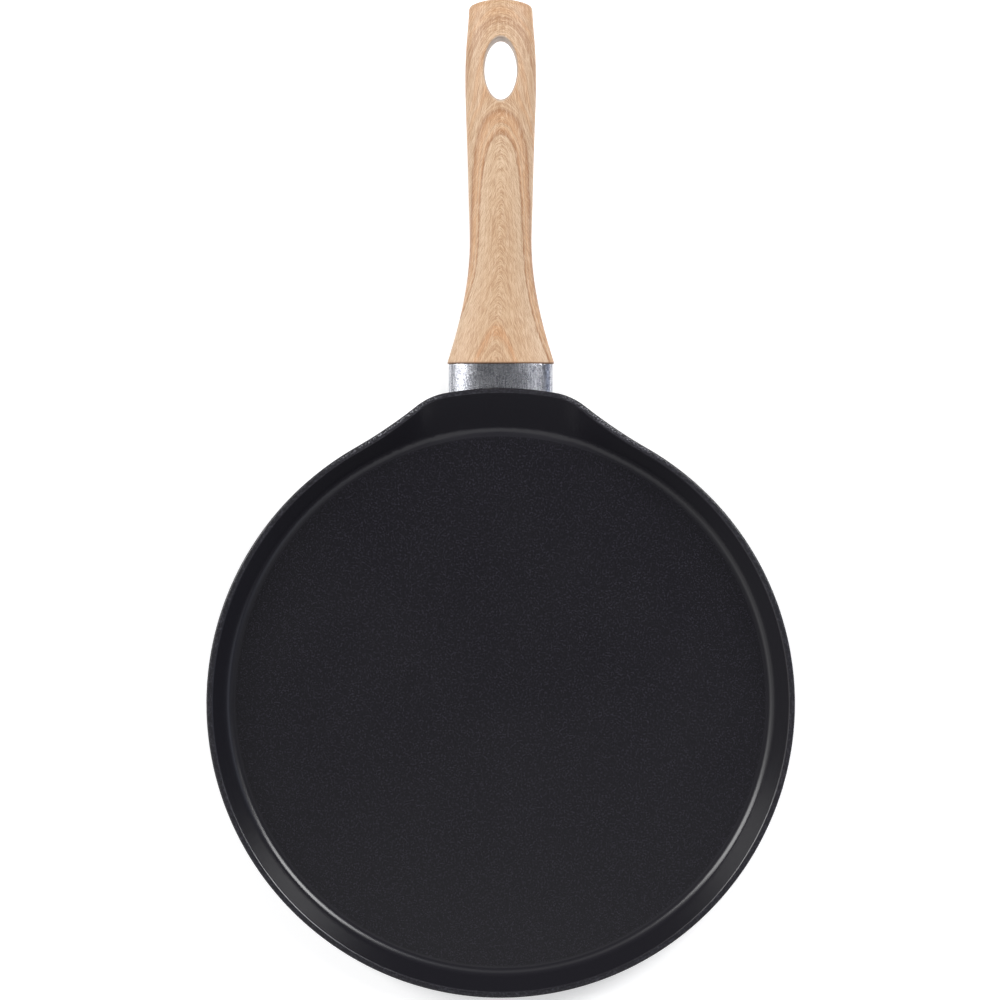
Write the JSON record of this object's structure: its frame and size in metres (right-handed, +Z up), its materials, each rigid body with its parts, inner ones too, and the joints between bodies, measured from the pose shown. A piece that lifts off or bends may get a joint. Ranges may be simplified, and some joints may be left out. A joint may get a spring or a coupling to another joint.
{
  "type": "crepe pan",
  "caption": "Low round non-stick crepe pan with a flared shoulder, a metal sleeve and a long wood-look grip with a hanging eye.",
  "frame": {"origin": "centre of the base's flat underside", "axes": "+Z up out of the cooking surface, +Y along the handle away from the pan, +X to the right when the handle points away"},
  "size_m": [0.2806, 0.4728, 0.0416],
  "materials": {
    "coated_casting": "cast aluminium under a fine-grained matt black non-stick coating, bare and turned on the base",
    "base_steel": "turned ferritic steel, set flush in the base",
    "sleeve_aluminium": "drawn aluminium with a fine grain along its length",
    "wood_look_moulding": "phenolic moulding with a light wood-grain film and a satin surface",
    "fastener_steel": "zinc-plated steel"
  },
  "bodies": {
    "root": {"pan_body": "coated_casting", "induction_disc": "base_steel", "flame_guard": "sleeve_aluminium", "handle_grip": "wood_look_moulding", "handle_screw": "fastener_steel", "flat_washer": "fastener_steel", "spring_washer": "fastener_steel"}
  },
  "joints": []
}
